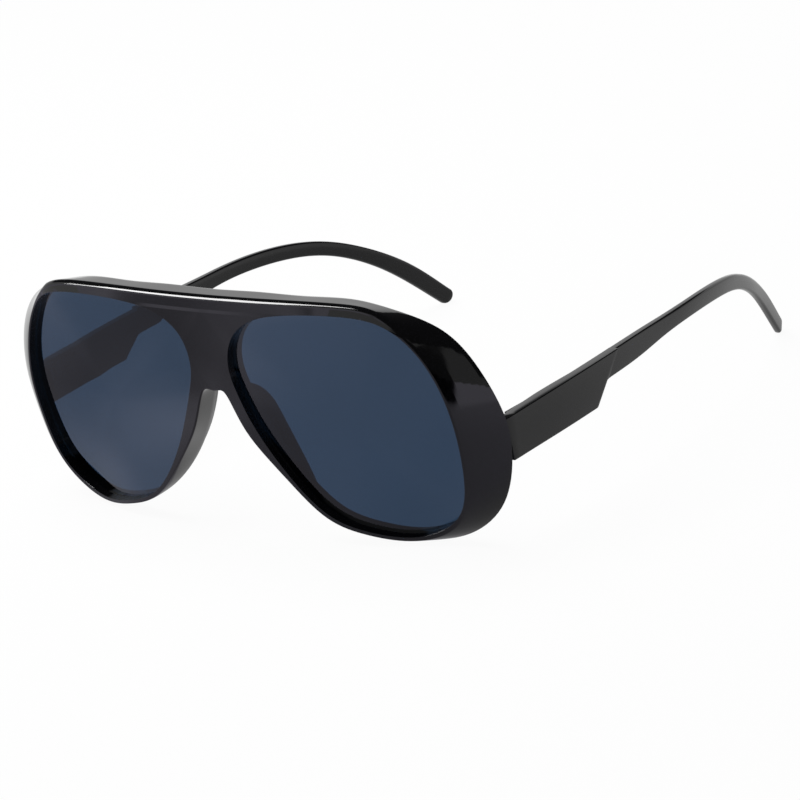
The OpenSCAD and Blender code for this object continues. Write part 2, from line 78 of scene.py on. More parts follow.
# %% The front's sizes and its outline at 18 stations
HALF_WIDTH, FRONT_HIGH, BRIDGE, LOWER_RIM = 71.3, 59.6, 11.4, 2.3
OPEN_WIDE, OPEN_HIGH = HALF_WIDTH - 8.9 - BRIDGE / 2, FRONT_HIGH - 2.9 - LOWER_RIM
SIDE_RIM, NOSE_RIM, RIM_DEEP, FLARE_DEEP, SWEEP = 0.6, 3.3, 6.2, 14.9, 4.1
FACE_RADIUS, NOTCH_TOP, BROW_BEVEL, NOTCH_BEVEL = 333.0, 36.5, 1.1, 0.4
LENS_THICK, LENS_RECESS, GROOVE = 1.8, 2.1, 0.72
opening_share = [(.042, .872), (.173, .960), (.361, .992), (.570, 1), (.757, .978), (.878, .879),
    (.959, .726), (.999, .553), (1, .367), (.961, .163), (.853, .040), (.697, 0), (.514, .032),
    (.341, .108), (.188, .286), (.082, .477), (.022, .629), (0, .744)]
sweep_share = [.06, .05, 0, -.15, -.30, -.12, 0, .10, .37, .74, .99, .71, .29, .20, .11, -.03,
    -.03, 0]
wall_share = [1, 1, 1, 1.03, 1.06, .96, .88, .86, .88, .94, .98, .98, .98, .98, 1, 1, 1, 1]
brow_share = [(0, .980), (.190, .980), (.365, .980), (.547, .977), (.682, .951)]
brow_sweep = [0, 0, 0, -.07, -.20]
side_rim_share = [.75, .83, 1, 1.17, 1.33, 1.8, 1.5, 1.5, 1.65]
nose_rim_share = [.39, .84]
brow_edge_share = [(0, .988), (.183, .990), (.365, .985), (.540, .981), (.695, .945)]
flare_share = [(.848, .866, .75), (.948, .719, .835), (.999, .540, .935), (.998, .369, 1),
    (.939, .163, .985), (.802, .027, .9), (.654, 0, .72), (.506, .025, .57)]
nose_edge_share = [0, .30, .13, .13]
rounded_share = [0, 0, 0, 0, 0, 1, 1, 1, 1, 1, 1, 1, 1, .6, 0, 0, 0, 0]
LAST, BROW, NOSE = 17, 5, 13
print("lens opening", round(OPEN_WIDE, 1), "x", round(OPEN_HIGH, 1), "mm")


# %% A smooth closed curve through the stations
SETTLING_ROUNDS, NUDGE = 18, .01


def strip(points):
    """Control points of the bent strip that passes through the given points."""
    pins = np.array(points, float)
    held = pins.copy()
    for _ in range(SETTLING_ROUNDS):
        held = (6 * pins - np.roll(held, 1, 0) - np.roll(held, -1, 0)) / 4
    return held


def along(held, t):
    """The strip's place at station t, which may lie between two pins."""
    n, i = len(held), math.floor(t)
    f = t - i
    a, b, c, d = (held[(i + k) % n] for k in (-1, 0, 1, 2))
    return (a * (1 - f) ** 3 + b * (3 * f ** 3 - 6 * f * f + 4)
            + c * (-3 * f ** 3 + 3 * f * f + 3 * f + 1) + d * f ** 3) / 6


def outward(held, t):
    """The direction square to the strip at t, away from its middle."""
    s = along(held, t + NUDGE) - along(held, t - NUDGE)
    return np.array((-s[1], s[0], 0)) / math.hypot(s[0], s[1])


def face_y(x):
    """How far the bowed face has gone back at x."""
    return FACE_RADIUS - math.sqrt(FACE_RADIUS ** 2 - x * x)


def mix(a, b, k):
    """From a to b as k goes from 0 to 1."""
    return a * (1 - k) + b * k


opening = strip([(BRIDGE / 2 + a * OPEN_WIDE, LOWER_RIM + b * OPEN_HIGH, s * SWEEP)
                 for (a, b), s in zip(opening_share, sweep_share)])
wall_deep = strip([(s * RIM_DEEP, 0) for s in wall_share])


# %% The flat face's outer edge and the rear edge, as x, z and depth
def swept(x, z, s):
    """A point on the bowed face, drawn back by the share s of the side's sweep."""
    return np.array((x, z, face_y(x) + s * SWEEP))


NOTCH_CORNER = .983
rims = [s * SIDE_RIM for s in side_rim_share] + [s * NOSE_RIM for s in nose_rim_share]
face_pins = [swept(a * HALF_WIDTH, b * FRONT_HIGH, s) for (a, b), s in zip(brow_share, brow_sweep)]
for k, wide in enumerate(rims):
    p = along(opening, BROW + k) + outward(opening, BROW + k) * wide
    face_pins.append(swept(p[0], p[1], sweep_share[BROW + k]))
face_pins.append(swept(along(opening, LAST - 1)[0] - NOSE_RIM, NOTCH_CORNER * NOTCH_TOP,
                       sweep_share[LAST - 1]))
face_pins.append(swept(0, NOTCH_TOP, 0))


def behind(p, i):
    """The point of the rear edge behind p at pin i."""
    return np.array((p[0], p[1], face_pins[i][2] + RIM_DEEP * wall_share[i]))


edge_pins = [behind((a * HALF_WIDTH, b * FRONT_HIGH), i) for i, (a, b) in enumerate(brow_edge_share)]
edge_pins += [np.array((a * HALF_WIDTH, b * FRONT_HIGH, d * FLARE_DEEP)) for a, b, d in flare_share]
edge_pins += [behind(face_pins[NOSE + i] + outward(opening, NOSE + i) * s * NOSE_RIM, NOSE + i)
              for i, s in enumerate(nose_edge_share)]
edge_pins.append(behind((0, NOTCH_TOP), LAST))
other_half = [p * np.array((-1, 1, 1)) for p in face_pins[-2:0:-1]]
face_strip = strip(face_pins + other_half)
edge_strip = strip(edge_pins + [p * np.array((-1, 1, 1)) for p in edge_pins[-2:0:-1]])
print("face pins", len(face_pins), "edge pins", len(edge_pins))


# %% [markdown]
# ## From the front's own frame to the shared frame
# The front leans with its top 1.5 degrees forward and stands on its lower rims, and each temple
# turns about a pin behind the flare. Two small functions bring millimetres in those frames to
# metres in the shared frame.

# %% Placing functions
LEAN, SHIFT_Y, FRONT_LOW = math.radians(1.5), -77.1945, 0.280827
PIN = np.array((66.6, 16.4412, 26.82))
TEMPLE_LEAN = math.radians(2.6183)


def front_place(p):
    """Millimetres in the front's frame to metres in the shared frame."""
    c, s = math.cos(LEAN), math.sin(LEAN)
    return Vector((p[0], p[1] * c - p[2] * s + SHIFT_Y, p[1] * s + p[2] * c - FRONT_LOW)) * .001


def temple_place(p):
    """Millimetres from the right hinge pin to metres in the shared frame."""
    c, s = math.cos(TEMPLE_LEAN), math.sin(TEMPLE_LEAN)
    return front_place((PIN[0] + p[0], PIN[1] + p[1] * c + p[2] * s, PIN[2] - p[1] * s + p[2] * c))


print("right hinge pin", front_place(PIN))

# %% [markdown]
# ## Modelling helpers
# Every plastic piece is drawn the way a boat hull is: as a row of closed rings. A circle is
# added, bent to the first ring, then its edges are extruded again and again, and each new ring is
# bent to its place. Rings that must stay crisp get a bevel weight, and one bevel rounds them all.

# %% Rings to a mesh
def edit(piece):
    """Opens the piece alone in edit mode."""
    bpy.ops.object.select_all(action="DESELECT")
    bpy.context.view_layer.objects.active = piece
    piece.select_set(True)
    bpy.ops.object.mode_set(mode="EDIT")


def object_mode():
    """Leaves edit mode, so that the mesh can be read and changed."""
    bpy.ops.object.mode_set(mode="OBJECT")


def bend_last(piece, ring):
    """Moves the newest ring of vertices to its places."""
    object_mode()
    first = len(piece.data.vertices) - len(ring)
    for k, p in enumerate(ring):
        piece.data.vertices[first + k].co = p
    bpy.ops.object.mode_set(mode="EDIT")


def hull(name, rings, crisp={}, closed=False):
    """Extrudes a circle through the rings; crisp gives the bevel weight of single rings."""
    bpy.ops.object.select_all(action="DESELECT")
    bpy.ops.mesh.primitive_circle_add(vertices=len(rings[0]), radius=.01)
    piece = bpy.context.object
    piece.name = piece.data.name = name
    bpy.ops.object.mode_set(mode="EDIT")
    bpy.ops.mesh.select_mode(type="EDGE")
    bpy.ops.mesh.select_all(action="SELECT")
    for i, ring in enumerate(rings):
        if i:
            bpy.ops.mesh.extrude_edges_move(TRANSFORM_OT_translate={"value": (0, .001, 0)})
        bend_last(piece, ring)
        if i in crisp:
            bpy.ops.transform.edge_bevelweight(value=crisp[i])
    if closed:
        object_mode()
        n, total = len(rings[0]), len(piece.data.vertices)
        bpy.ops.object.mode_set(mode="EDIT")
        bpy.ops.mesh.select_all(action="DESELECT")
        object_mode()
        for e in piece.data.edges:
            e.select = all(v < n for v in e.vertices) or all(v >= total - n for v in e.vertices)
        bpy.ops.object.mode_set(mode="EDIT")
        bpy.ops.mesh.bridge_edge_loops()
    object_mode()
    return piece


# %% Closed ends, modifiers, smooth shading and the other side's copy
def close_ends(piece):
    """Fills the two open ends of a hull, and turns all faces outwards."""
    edit(piece)
    bpy.ops.mesh.select_all(action="DESELECT")
    bpy.ops.mesh.select_non_manifold(extend=False)
    bpy.ops.mesh.edge_face_add()
    bpy.ops.mesh.select_all(action="SELECT")
    bpy.ops.mesh.normals_make_consistent(inside=False)
    object_mode()


def apply_modifier(piece, kind, **settings):
    """Adds one modifier to the piece and applies it."""
    bpy.ops.object.select_all(action="DESELECT")
    bpy.context.view_layer.objects.active = piece
    piece.select_set(True)
    mod = piece.modifiers.new(kind.title(), kind)
    for key, value in settings.items():
        setattr(mod, key, value)
    bpy.ops.object.modifier_apply(modifier=mod.name)


def soften(piece, angle):
    """Shades the piece smooth, apart from edges sharper than the angle in degrees."""
    bpy.ops.object.select_all(action="DESELECT")
    bpy.context.view_layer.objects.active = piece
    piece.select_set(True)
    bpy.ops.object.shade_smooth_by_angle(angle=math.radians(angle))


def mirrored(piece, name):
    """A copy with its own mesh on the other side of the middle plane."""
    bpy.ops.object.select_all(action="DESELECT")
    piece.select_set(True)
    bpy.context.view_layer.objects.active = piece
    bpy.ops.object.duplicate()
    twin = bpy.context.object
    twin.name = twin.data.name = name
    twin.scale = (-1, 1, 1)
    bpy.ops.object.transform_apply(location=False, rotation=False, scale=True)
    edit(twin)
    bpy.ops.mesh.select_all(action="SELECT")
    bpy.ops.mesh.normals_make_consistent(inside=False)
    object_mode()
    return twin


# %% [markdown]
# ## The front moulding
# The real front is one injection moulding. Each half is a ring round its lens opening: the wall
# of the opening, a flat face, a bevel along the brow that turns into the wide rounded flare at the
# side, and a back. The brow is a flat band, and the plate between the lenses lies a tenth of a
# millimetre behind it. A soft ramp joins them, which shows as a fine line from lens to lens.

# %% One station of the front, from the lens opening round the outside to the back
ROWS, ARC, STEPS = 10, 5, 8
CREASE, PLATE_SUNK = 56.15, 0.12
CUTS = (CREASE - .8, CREASE - .35, CREASE + .1)
PLATE_TOP, PLATE_SIDE = (28, 40), (12, 24)
FULL_ROUND, SHELF_IN, TOO_THIN = 1.85, .38, .1
DRAWN_IN = 0.4
drawn_in_share = [0, 0, 0, 0, 0, 0, 0, .3, .8, 1, 1, 1, 1, .8, .4, 0, 0, 0]
drawn_in = strip([(s * DRAWN_IN, 0) for s in drawn_in_share])


def step(a, b, v):
    """Smoothly from 0 at a to 1 at b."""
    k = min(1, max(0, (v - a) / (b - a)))
    return k * k * (3 - 2 * k)


def plate(p):
    """Sinks the bridge plate behind the brow's band, and lets that run out below and sideways."""
    sunk = np.interp(p[2], (CUTS[0], CUTS[-1]), (PLATE_SUNK, 0))
    return p + (0, sunk * step(*PLATE_TOP, p[2]) * (1 - step(*PLATE_SIDE, abs(p[0]))), 0)


def at(held, t, ends):
    """The strip at t, and past the last pin the straight way to the first one."""
    return mix(ends[LAST], ends[0], t - LAST) if t > LAST else along(held, t)


def xyz(q):
    """Turns x, z and depth into x, depth and z."""
    return np.array((q[0], q[2], q[1]))


def section(t):
    """All points of the front at station t, from the opening's lip round to the lip's back."""
    lip = along(opening, t)
    face, edge = at(face_strip, t, face_pins), at(edge_strip, t, edge_pins)
    if t > LAST:
        # In the middle plane the last three stations end on the three lines of the ramp.
        face[1] = np.interp(t - LAST, (0, .625, .75, .875), (NOTCH_TOP, *CUTS))
    deep = along(wall_deep, t)[0]
    i = int(t)
    bevel = BROW_BEVEL if t < LAST / 2 else NOTCH_BEVEL
    flare = 0 if t > LAST else mix(rounded_share[i], rounded_share[min(i + 1, LAST)], t - i)
    if t > LAST:
        way = np.zeros(3)
    elif abs(face[0]) < .001:
        way = np.array((0, 1 if t < 1 else -1, 0))
    else:
        way = outward(face_strip, t)
    lip_y = face_y(lip[0]) + lip[2]
    lip_point = np.array((lip[0], lip_y, lip[1]))
    outer = xyz(face)
    side = []
    for cut in CUTS:
        rise = outer[2] - lip_point[2]
        if rise > TOO_THIN:
            k = min(1, max(0, (cut - lip_point[2]) / rise))
        else:
            k = float(cut > lip_point[2])
        side.append(mix(lip_point, outer, k))
    for r in range(ROWS + 1):
        if r <= ARC:
            turn = math.pi / 2 * r / ARC
            flat = xyz(face + way * bevel * math.sin(turn)
                       + np.array((0, 0, bevel * (1 - math.cos(turn)))))
        else:
            flat = mix(xyz(face + way * bevel + np.array((0, 0, bevel))), xyz(edge),
                       (r - ARC) / (ROWS - ARC))
        a = math.pi / 2 * r / ROWS
        s, v = math.sin(a) ** FULL_ROUND, 1 - math.cos(a) ** FULL_ROUND
        rounded = np.array((mix(face[0], edge[0], s), mix(face[2], edge[2], v),
                            mix(face[1], edge[1], s)))
        side.append(mix(flat, rounded, flare))
    drawn = outward(opening, t) * along(drawn_in, t)[0]
    rear = np.array((lip[0] - drawn[0], lip_y + deep, lip[1] - drawn[1]))
    shelf = np.array((mix(rear[0], edge[0], SHELF_IN), edge[2], mix(rear[2], edge[1], SHELF_IN)))
    on_face = len(CUTS) + 1 + ARC
    rows = [plate(lip_point)] + [plate(p) if n < on_face else p for n, p in enumerate(side)]
    return rows + [shelf, rear]


stations = [section(j / STEPS) for j in range(18 * STEPS)]
rings = [[front_place(s[r]) for s in stations] for r in range(len(stations[0]))]
print("stations", len(stations), "rings", len(rings))

# %% Extrude the half, open its middle plane and mirror it
ON_SEAM, SAME_PLACE, HALVES_MEET = 2e-6, 4e-6, 1e-5
CRISP = {0: .6, 4 + ROWS: .5, 6 + ROWS: .8}
front = hull("front_moulding", rings, CRISP, closed=True)
edit(front)
bpy.ops.mesh.select_all(action="DESELECT")
object_mode()
for f in front.data.polygons:
    f.select = all(abs(front.data.vertices[v].co.x) < ON_SEAM for v in f.vertices)
bpy.ops.object.mode_set(mode="EDIT")
bpy.ops.mesh.select_mode(type="FACE")
bpy.ops.mesh.delete(type="ONLY_FACE")
bpy.ops.mesh.select_all(action="SELECT")
bpy.ops.mesh.remove_doubles(threshold=SAME_PLACE)
object_mode()
apply_modifier(front, "MIRROR", use_clip=True, merge_threshold=HALVES_MEET)
edit(front)
bpy.ops.mesh.select_all(action="SELECT")
bpy.ops.mesh.remove_doubles(threshold=SAME_PLACE)
bpy.ops.mesh.delete_loose()
bpy.ops.mesh.select_all(action="SELECT")
bpy.ops.mesh.normals_make_consistent(inside=False)
object_mode()
print("front", len(front.data.vertices), "vertices")

# %% Take the rounding off the seam in the middle plane
weights = front.data.attributes["bevel_weight_edge"].data
seam = [e.index for e in front.data.edges
        if all(abs(front.data.vertices[v].co.x) < ON_SEAM for v in e.vertices)]
for i in seam:
    weights[i].value = 0
print("edges in the seam", len(seam))

# %% Round the marked edges, and let the flat face alone decide how it is shaded
EDGE_ROUND = .00045
FORWARD, FACE_REACH = -.93, .045
apply_modifier(front, "BEVEL", width=EDGE_ROUND, segments=3, limit_method="WEIGHT")
soften(front, 40)
face_group = front.vertex_groups.new(name="flat_face")
flat_face = [v.index for v in front.data.vertices
             if v.normal.y < FORWARD and abs(v.co.x) < FACE_REACH]
face_group.add(flat_face, 1, "REPLACE")
apply_modifier(front, "WEIGHTED_NORMAL", keep_sharp=True, vertex_group="flat_face")
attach(front, "front")
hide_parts("front_frame")
print("rounded front", len(front.data.polygons), "faces")

# %% [markdown]
# ## The lenses
# A sunglass lens is a thin shell, the same thickness all over, that snaps into a groove. It is
# made as one curved skin, ring by ring towards its middle, and gets its thickness afterwards, so
# both faces stay parallel and what is behind shows undistorted.

# %% One lens skin
LENS_RINGS, FLAT_BORDER, FIRST_RING = 14, .8, .999
MIDDLE_SHARE = (.53, .50, .25)
mid = np.array((BRIDGE / 2 + MIDDLE_SHARE[0] * OPEN_WIDE,
                LOWER_RIM + MIDDLE_SHARE[1] * OPEN_HIGH, MIDDLE_SHARE[2] * SWEEP))


def lens_ring(k):
    """A ring of the lens skin at the share k of the way from its middle to its border."""
    ring = []
    for j in range(18 * STEPS):
        p, n = along(opening, j / STEPS), outward(opening, j / STEPS)
        q = p + n * GROOVE if k == 1 else mix(mid, p - n * FLAT_BORDER, k)
        q = np.array((q[0], q[1], mix(mid[2], p[2], k * k)))
        ring.append(front_place((q[0], face_y(q[0]) + q[2] + LENS_RECESS, q[1])))
    return ring


shares = [1, FIRST_RING] + [1 - i / LENS_RINGS for i in range(1, LENS_RINGS)]
lens = hull("lens_glass_right", [lens_ring(k) for k in shares])
edit(lens)
bpy.ops.mesh.select_mode(type="EDGE")
bpy.ops.mesh.merge(type="CENTER")
bpy.ops.mesh.select_all(action="SELECT")
bpy.ops.mesh.normals_make_consistent(inside=False)
object_mode()
print("lens skin", len(lens.data.polygons), "faces")

# %% The skin thickened, and the left lens
toward_front = sum(f.normal.y * f.area for f in lens.data.polygons) < 0
apply_modifier(lens, "SOLIDIFY", thickness=.001 * LENS_THICK, offset=-1 if toward_front else 1,
               use_even_offset=True)
edit(lens)
bpy.ops.mesh.select_all(action="SELECT")
bpy.ops.mesh.normals_make_consistent(inside=False)
object_mode()
soften(lens, 40)
lens_twin = mirrored(lens, "lens_glass_left")
soften(lens_twin, 40)
for piece, side in ((lens, "right"), (lens_twin, "left")):
    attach(piece, "front")
    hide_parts("lens_" + side)
print("lens", len(lens.data.polygons), "faces, skin faces forward:", toward_front)

# %% [markdown]
# ## The nose pads
# Each pad is a long flat teardrop of plastic that follows the rim down the side of the notch and
# turns towards the nose. It is a stack of ellipses that swell below the top and run out at the foot.

# %% Pads from stacked ellipses
PAD_DEEP, PAD_THICK, PAD_SPLAY = 6.4, 2.8, math.radians(32)
PAD_START, PAD_END, PAD_CROWN = LAST - .62, NOSE + .3, .36
PAD_RINGS, PAD_POINTS, FULLNESS, SET_BACK, SET_OUT = 30, 32, .75, .47, .2


def pad_ring(f):
    """The pad's ellipse at the share f of the way down the notch."""
    g = f / PAD_CROWN / 2 if f < PAD_CROWN else (1 + (f - PAD_CROWN) / (1 - PAD_CROWN)) / 2
    swell = math.sin(math.pi * g) ** FULLNESS
    rim = along(edge_strip, mix(PAD_START, PAD_END, f))
    rear = rim[2] - PAD_THICK / 2 + PAD_DEEP * swell * SET_BACK
    ring = []
    for i in range(PAD_POINTS):
        a = 2 * math.pi * i / PAD_POINTS
        u, v = PAD_THICK / 2 * swell * math.cos(a), PAD_DEEP / 2 * swell * math.sin(a)
        x = rim[0] + SET_OUT * PAD_THICK + u * math.cos(PAD_SPLAY) \
            + (v + PAD_DEEP * swell / 2) * math.sin(PAD_SPLAY)
        y = rear + v * math.cos(PAD_SPLAY) - u * math.sin(PAD_SPLAY)
        ring.append(front_place((x, y, rim[1])))
    return ring


pad_shares = [(1 - math.cos(math.pi * (k + .5) / PAD_RINGS)) / 2 for k in range(PAD_RINGS)]
pad = hull("nose_pad_moulded_right", [pad_ring(f) for f in pad_shares])
close_ends(pad)
soften(pad, 60)
pad_twin = mirrored(pad, "nose_pad_moulded_left")
soften(pad_twin, 60)
for piece, side in ((pad, "right"), (pad_twin, "left")):
    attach(piece, "front")
    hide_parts("nose_pad_" + side)
print("pad", len(pad.data.polygons), "faces")

# %% [markdown]
# ## The temples
# A temple is a flat arm, about 3 mm thick, that arches back and drops behind the ear, where it
# thins and ends in a round tip. At the hinge it carries a broad panel, a little prouder than the
# arm, that ends in a slanted edge. Both are drawn as rings with rounded corners that follow the
# side view and the plan view.

# %% The temple's side view and plan view
REACH, DROP, INWARD, PANEL_LONG, PANEL_HIGH = 141.2, 30.4, 20.4, 42.0, 10.3
TEMPLE_THICK, PROUD, EAR_THICK, OUTER = 2.8, 0.6, 2.1, 4.7
top_share = [(0, .112), (.177, .153), (.362, .182), (.455, .190), (.558, .197), (.671, .160),
    (.784, .018), (.903, -.302), (.990, -.675)]
under_share = [(.270, -.022), (.362, .002), (.444, .046), (.537, .068), (.651, .042),
    (.759, -.068), (.867, -.347), (.974, -.788)]
plan_share = [(0, 0), (.033, -.008), (.074, -.019), (.135, -.034), (.218, -.043), (.311, -.037),
    (.424, -.015), (.527, .010), (.630, .104), (.722, .248), (.815, .443), (.903, .669),
    (1.052, 1.020)]
ARM_UNDER, HINGE_PAD = -.032 * DROP, 12.85


# %% The two views as smooth lines
def open_strip(points, steps):
    """Points of the bent strip with free ends."""
    pins = np.array(points, float)
    pins = np.vstack([2 * pins[0] - pins[1], pins, 2 * pins[-1] - pins[-2]])
    held = pins.copy()
    for _ in range(SETTLING_ROUNDS):
        inner = (6 * pins[1:-1] - held[:-2] - held[2:]) / 4
        held = np.vstack([pins[:1], inner, pins[-1:]])
    out = [along(held, i + k / steps) for i in range(1, len(points)) for k in range(steps)]
    return np.array(out + [pins[-2]])


top_line = open_strip([(a * REACH, b * DROP) for a, b in top_share], 10)
under_line = open_strip([(a * REACH, b * DROP) for a, b in under_share], 10)
plan_line = open_strip([(b * -INWARD + OUTER, a * REACH) for a, b in plan_share], 8)


def top_z(y):
    """Height of the temple's upper edge above the pin's middle, y millimetres behind the pin."""
    return float(np.interp(y, top_line[:, 0], top_line[:, 1]))


def outer_x(y):
    """How far out the panel's face lies from the pin."""
    return float(np.interp(y, plan_line[:, 1], plan_line[:, 0]))


def inner_x(y):
    """Where the inner face lies: thinner to the ear, and level with the hinge near the pin."""
    thin = min(1, max(0, (y - PANEL_LONG) / (REACH - PANEL_LONG)))
    boss = min(1, max(0, 2 - y / HINGE_PAD))
    return outer_x(y) - mix(TEMPLE_THICK, PROUD + EAR_THICK, thin) - (outer_x(y) - OUTER) * boss


def panel_low(y):
    """Height of the panel's lower edge."""
    return mix(top_z(0), top_z(PANEL_LONG), y / PANEL_LONG) - PANEL_HIGH


print("temple", REACH, "mm behind the pin")


# %% A ring with rounded corners between an upper and a lower point of the side view
CORNER_POINTS, CORNER_TURN, SMALLEST = 6, 18, 1e-6


def temple_ring(upper, lower, face_in, corner, squeeze=1.0, on=0.0):
    """face_in is how far the outer face lies inside the panel's face, corner its radius."""
    up, low = np.array(upper) + (on, 0), np.array(lower) + (on, 0)
    half, centre = (up - low) / 2, (up + low) / 2
    tall = max(np.linalg.norm(half), SMALLEST)
    r = min(corner, tall)
    ring = []
    for cx, cz, begin in ((1, 1, 90), (1, -1, 0), (-1, -1, -90), (-1, 1, 180)):
        for k in range(CORNER_POINTS):
            a = math.radians(begin - CORNER_TURN * k)
            yz = centre + half / tall * ((tall - r) * cz + r * math.sin(a))
            far, near = outer_x(yz[0]) - face_in, inner_x(yz[0])
            wide = (far - near) / 2 * squeeze
            flat = min(corner, wide)
            x = (far + near) / 2 + (wide - flat) * cx + flat * math.cos(a)
            ring.append(temple_place((x, yz[0], yz[1])))
    return ring


print("points in a ring", 4 * CORNER_POINTS)

# %% The panel and its slanted end, as rings
SLANT, FRONT_END = -.0955 - math.tan(TEMPLE_LEAN), -1.75
LOW_END, UNDER_END = PANEL_LONG * .745, PANEL_LONG * .874
PANEL_RINGS, PANEL_CORNER = 31, .35
# The front end and the step at the back are rounded by rings that are a little smaller: how much
# lower, the corner's radius and how far on; and how far back and how much lower.
FRONT_ROUND = ((.22, .2, 0), (.06, .3, .08), (0, .35, .24))
STEP_ROUND = ((.3, 0), (.13, .03), (.03, .12), (0, .26))


def under_z(y):
    """Height of the arm's lower edge."""
    if y < under_line[0][0]:
        return mix(ARM_UNDER, under_line[0][1], step(UNDER_END, under_line[0][0], y))
    return float(np.interp(y, under_line[:, 0], under_line[:, 1]))


front_end = (FRONT_END + top_z(0) * SLANT, FRONT_END + panel_low(0) * SLANT)
rings = [temple_ring((front_end[0], top_z(0) - cut), (front_end[1], panel_low(0) + cut), cut, near,
                     on=on) for cut, near, on in FRONT_ROUND]
for k in range(1, PANEL_RINGS):
    ty, uy = mix(0, PANEL_LONG, k / PANEL_RINGS), mix(0, LOW_END, k / PANEL_RINGS)
    rings.append(temple_ring((ty, top_z(ty)), (uy, panel_low(uy)), 0, PANEL_CORNER))
panel_end = (PANEL_LONG, top_z(PANEL_LONG))
for back_off, cut in STEP_ROUND:
    low = (LOW_END, panel_low(LOW_END) + cut)
    rings.append(temple_ring(panel_end, low, cut, PANEL_CORNER, on=-back_off))
print("panel rings", len(rings))

# %% The arm to its round tip, as more rings
ARM_RINGS, TIP_RINGS, TIP_LONG = 96, 12, .95
ARM_CORNER, EAR_CORNER, EAR_FROM, EAR_TO = .45, .8, 40, 90
TIP_THINNEST, TIP_FLAT = .12, .6
far_top, far_under = top_line[-1], under_line[-1]
for k in range(ARM_RINGS + 1):
    s = k / ARM_RINGS
    ty, uy = mix(PANEL_LONG, far_top[0], s), mix(UNDER_END, far_under[0], s)
    rings.append(temple_ring((ty, top_z(ty)), (uy, under_z(uy)), PROUD,
                             mix(ARM_CORNER, EAR_CORNER, step(EAR_FROM, EAR_TO, ty))))
half, tip_mid = (far_top - far_under) / 2, (far_top + far_under) / 2
onward = np.array((half[1], -half[0])) * TIP_LONG
for k in range(1, TIP_RINGS + 1):
    a = math.pi / 2 * k / (TIP_RINGS + .4)
    c = tip_mid + onward * math.sin(a)
    rings.append(temple_ring(c + half * math.cos(a), c - half * math.cos(a), PROUD, EAR_CORNER,
                             squeeze=max(TIP_THINNEST, math.cos(a) ** TIP_FLAT)))
print("all temple rings", len(rings))

# %% The right temple, and the left one as its mirror image
temple = hull("temple_moulded_right", rings)
close_ends(temple)
soften(temple, 38)
temple_twin = mirrored(temple, "temple_moulded_left")
soften(temple_twin, 38)
for piece, side in ((temple, "right"), (temple_twin, "left")):
    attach(piece, "temple_" + side + "_arm")
    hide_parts("temple_" + side)
print("temple", len(temple.data.polygons), "faces,", len(rings), "rings")

# %% [markdown]
# ## Materials
# One function turns the colour codes to linear light, and one adds a node with its settings and
# its links. Each material is named for the real stuff and how its surface was made.

# %% Colour and node helpers
def colour(code):
    """An sRGB code such as 1a1a1c as linear red, green, blue and full alpha."""
    parts = [int(code[i:i + 2], 16) / 255 for i in (0, 2, 4)]
    return [c / 12.92 if c <= .04045 else ((c + .055) / 1.055) ** 2.4 for c in parts] + [1]


def add(tree, kind, settings={}, **links):
    """Adds a node. Settings set its options or sockets by name or number, links feed its sockets
    from other sockets or from a node's first output, with _2 for socket number 2."""
    node = tree.nodes.new(kind)
    for key, value in settings.items():
        if isinstance(key, int) or key in node.inputs:
            node.inputs[key].default_value = value
        else:
            setattr(node, key, value)
    for key, source in links.items():
        socket = node.inputs[int(key[1:])] if key[0] == "_" else node.inputs[key.replace("_", " ")]
        output = source.outputs[0] if isinstance(source, bpy.types.Node) else source
        tree.links.new(output, socket)
    return node


def material(name):
    """A new empty material and its node tree."""
    made = bpy.data.materials.new(name)
    made.use_nodes = True
    made.node_tree.nodes.clear()
    return made, made.node_tree


def put_on(piece, made):
    """Makes this the piece's only material."""
    piece.data.materials.clear()
    piece.data.materials.append(made)


print("808080 in linear light", round(colour("808080")[0], 3))

# %% [markdown]
# ### Polished black polycarbonate, injection moulded
# A polished mould gives a mirror-like skin over a deep black body. To the eye it is almost all
# reflection. The skin is never perfect: it rises and sinks by a few microns over several
# millimetres, and handling leaves a faint haze, so the gloss varies a little.

# %% Polished black plastic
# Patterns are counted per metre: smudges 11 mm wide, waves of the skin 7 mm, tones of the body 29 mm.
SMUDGES, WAVES, TONES, WAVE_HIGH = 90, 140, 35, .0002


def black_plastic(name, body_code, gloss, haze, wave):
    """gloss is the lowest roughness, haze what smudges add to it, wave how strong the skin moves."""
    made, tree = material(name)
    place = add(tree, "ShaderNodeTexCoord").outputs["Object"]
    smudge = add(tree, "ShaderNodeTexNoise", {"Scale": SMUDGES, "Detail": 3, "Roughness": .6},
                 Vector=place)
    rough = add(tree, "ShaderNodeMapRange", {1: .35, 2: .75, 3: gloss, 4: gloss + haze},
                Value=smudge)
    flow = add(tree, "ShaderNodeTexNoise", {"Scale": WAVES, "Detail": 1}, Vector=place)
    skin = add(tree, "ShaderNodeBump", {"Strength": wave, "Distance": WAVE_HIGH},
               Height=flow)
    tone = add(tree, "ShaderNodeTexNoise", {"Scale": TONES, "Detail": 2}, Vector=place)
    body = add(tree, "ShaderNodeValToRGB", {}, Fac=tone)
    body.color_ramp.elements[0].color = colour(body_code)
    body.color_ramp.elements[1].color = [c * 1.5 for c in colour(body_code)[:3]] + [1]
    shader = add(tree, "ShaderNodeBsdfPrincipled", {"IOR": 1.47}, Base_Color=body,
                 Roughness=rough, Normal=skin)
    add(tree, "ShaderNodeOutputMaterial", {}, Surface=shader)
    return made


front_black = black_plastic("polished_black_polycarbonate", "060608", .03, .05, .02)
temple_black = black_plastic("polished_black_nylon_temple", "08080a", .07, .07, .03)
pad_black = black_plastic("moulded_black_pad_plastic", "0c0c0d", .2, .1, .05)
put_on(front, front_black)
for piece in (temple, temple_twin):
    put_on(piece, temple_black)
for piece in (pad, pad_twin):
    put_on(piece, pad_black)
print("black plastics made")

